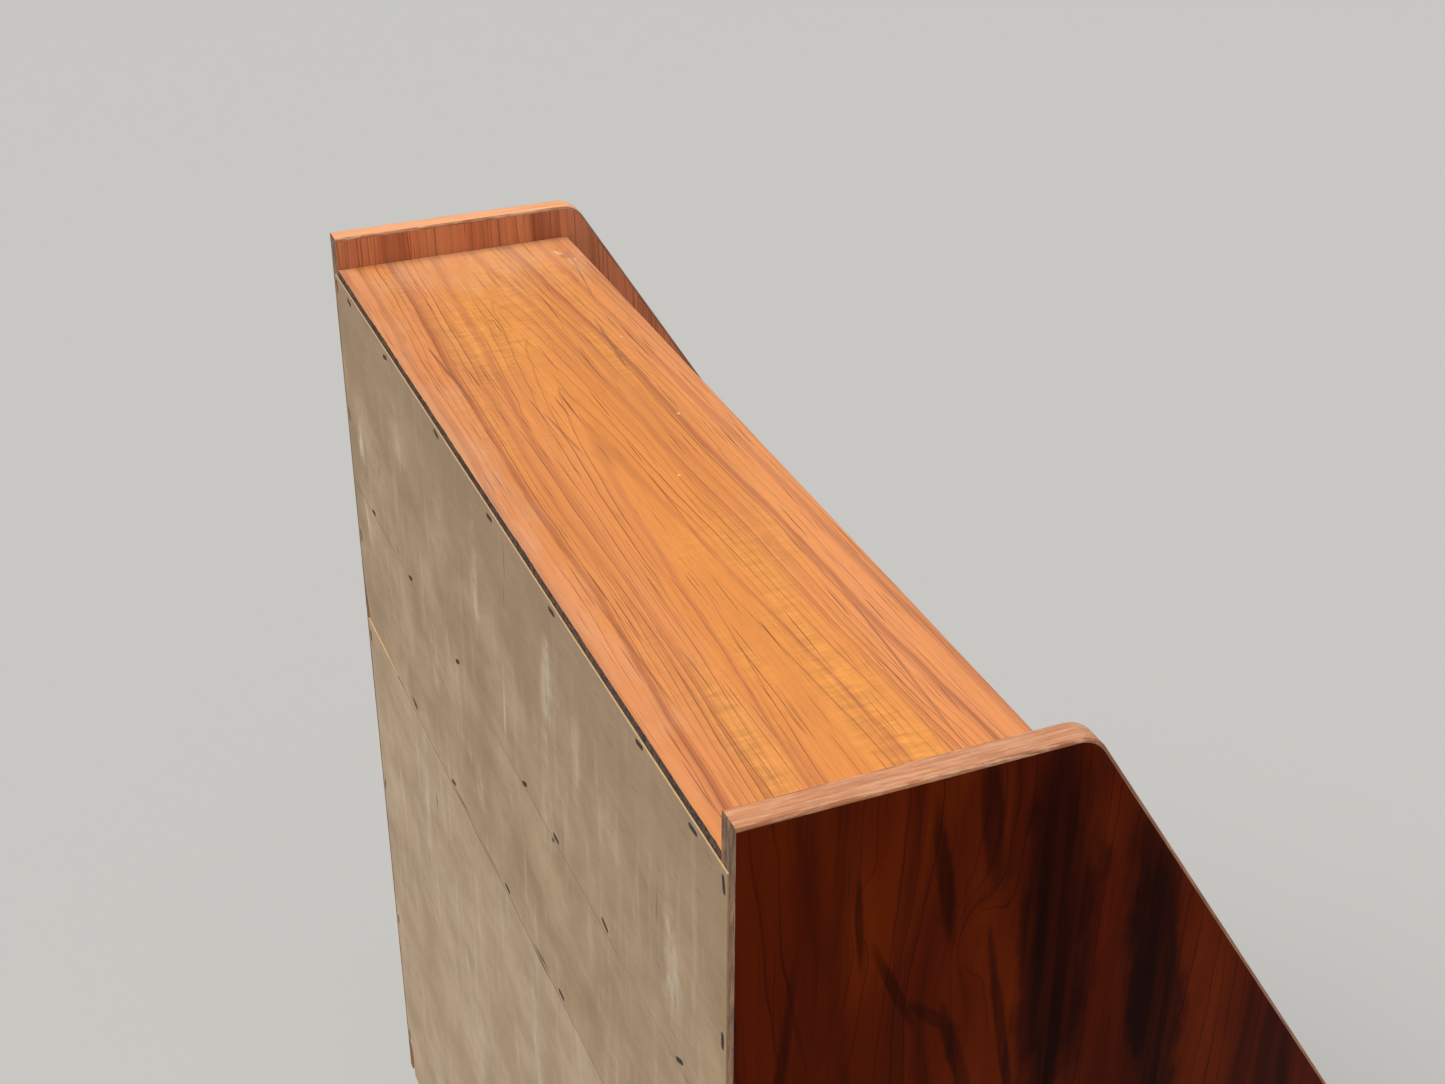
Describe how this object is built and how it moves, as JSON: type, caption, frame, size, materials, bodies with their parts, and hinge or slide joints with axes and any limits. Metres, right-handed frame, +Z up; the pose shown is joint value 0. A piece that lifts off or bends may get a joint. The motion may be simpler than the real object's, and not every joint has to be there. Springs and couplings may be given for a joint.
{
  "type": "sewing bureau",
  "caption": "Slant-front teak sewing bureau with raised sides, stapled plywood back, fall flap on lopers, inner pigeonholes and small drawers, and long drawers.",
  "frame": {"origin": "on the floor, under the middle of the case", "axes": "+X along the bureau's width, to the right when seen from the front; +Y from front to back; +Z up"},
  "size_m": [0.888, 0.461, 1.108],
  "materials": {
    "teak_top": "orange teak veneer, oiled, satin",
    "teak_side": "dark red-brown figured teak veneer, oiled, satin",
    "teak_front": "teak veneer, oiled, satin",
    "teak_inside": "teak veneer, oiled, matt",
    "teak_solid": "solid teak, oiled, satin",
    "back_plywood": "raw aged plywood, matt",
    "drawer_plywood": "raw birch plywood, matt",
    "beech": "solid beech, waxed, matt",
    "brass": "rolled brass, tarnished"
  },
  "bodies": {
    "case": {"side_panel_left": "teak_side", "side_panel_right": "teak_side", "top_board": "teak_top", "bottom_board": "teak_inside", "front_rail": "teak_solid", "back_sheet_upper": "back_plywood", "back_sheet_lower": "back_plywood", "work_board": "teak_inside", "pigeonhole_shelf": "teak_inside", "divider_left": "teak_inside", "divider_right": "teak_inside", "small_drawer_shelf_left": "teak_inside", "small_drawer_shelf_right": "teak_inside", "hinge_leaf_fixed_left": "brass", "hinge_leaf_fixed_right": "brass", "loper_guide_left": "beech", "loper_guide_right": "beech", "upper_runner_left": "beech", "upper_runner_right": "beech", "middle_runner_left": "beech", "middle_runner_right": "beech", "lower_runner_left": "beech", "lower_runner_right": "beech", "leg_batten_left": "teak_solid", "leg_batten_right": "teak_solid", "leg_back_left": "teak_solid", "leg_back_right": "teak_solid", "leg_front_left": "teak_solid", "leg_front_right": "teak_solid"},
    "flap": {"flap": "teak_front", "hinge_leaf_flap_left": "brass", "hinge_leaf_flap_right": "brass"},
    "loper_left": {"loper_left": "teak_solid"},
    "loper_right": {"loper_right": "teak_solid"},
    "upper_drawer": {"upper_drawer_front": "teak_front", "upper_drawer_side_left": "beech", "upper_drawer_side_right": "beech", "upper_drawer_back": "beech", "upper_drawer_bottom": "drawer_plywood", "thread_rack": "beech"},
    "middle_drawer": {"middle_drawer_front": "teak_front", "middle_drawer_side_left": "beech", "middle_drawer_side_right": "beech", "middle_drawer_back": "beech", "middle_drawer_bottom": "drawer_plywood"},
    "lower_drawer": {"lower_drawer_front": "teak_front", "lower_drawer_side_left": "beech", "lower_drawer_side_right": "beech", "lower_drawer_back": "beech", "lower_drawer_bottom": "drawer_plywood"},
    "small_drawer_left": {"small_drawer_left_front": "teak_front", "small_drawer_left_side_left": "beech", "small_drawer_left_side_right": "beech", "small_drawer_left_back": "beech", "small_drawer_left_bottom": "drawer_plywood"},
    "small_drawer_right": {"small_drawer_right_front": "teak_front", "small_drawer_right_side_left": "beech", "small_drawer_right_side_right": "beech", "small_drawer_right_back": "beech", "small_drawer_right_bottom": "drawer_plywood"}
  },
  "joints": [
    {"name": "flap_hinge", "type": "hinge", "parent": "case", "child": "flap", "pos_m": [0, -0.17611, 0.73], "axis": [1, 0, 0], "range_deg": [0, 122.1]},
    {"name": "loper_left_slide", "type": "slide", "parent": "case", "child": "loper_left", "axis": [0, -1, 0], "range_m": [0, 0.25]},
    {"name": "loper_right_slide", "type": "slide", "parent": "case", "child": "loper_right", "axis": [0, -1, 0], "range_m": [0, 0.25]},
    {"name": "upper_drawer_slide", "type": "slide", "parent": "case", "child": "upper_drawer", "axis": [0, -1, 0], "range_m": [0, 0.3]},
    {"name": "middle_drawer_slide", "type": "slide", "parent": "case", "child": "middle_drawer", "axis": [0, -1, 0], "range_m": [0, 0.3]},
    {"name": "lower_drawer_slide", "type": "slide", "parent": "case", "child": "lower_drawer", "axis": [0, -1, 0], "range_m": [0, 0.3]},
    {"name": "small_drawer_left_slide", "type": "slide", "parent": "case", "child": "small_drawer_left", "axis": [0, -1, 0], "range_m": [0, 0.14]},
    {"name": "small_drawer_right_slide", "type": "slide", "parent": "case", "child": "small_drawer_right", "axis": [0, -1, 0], "range_m": [0, 0.14]}
  ]
}
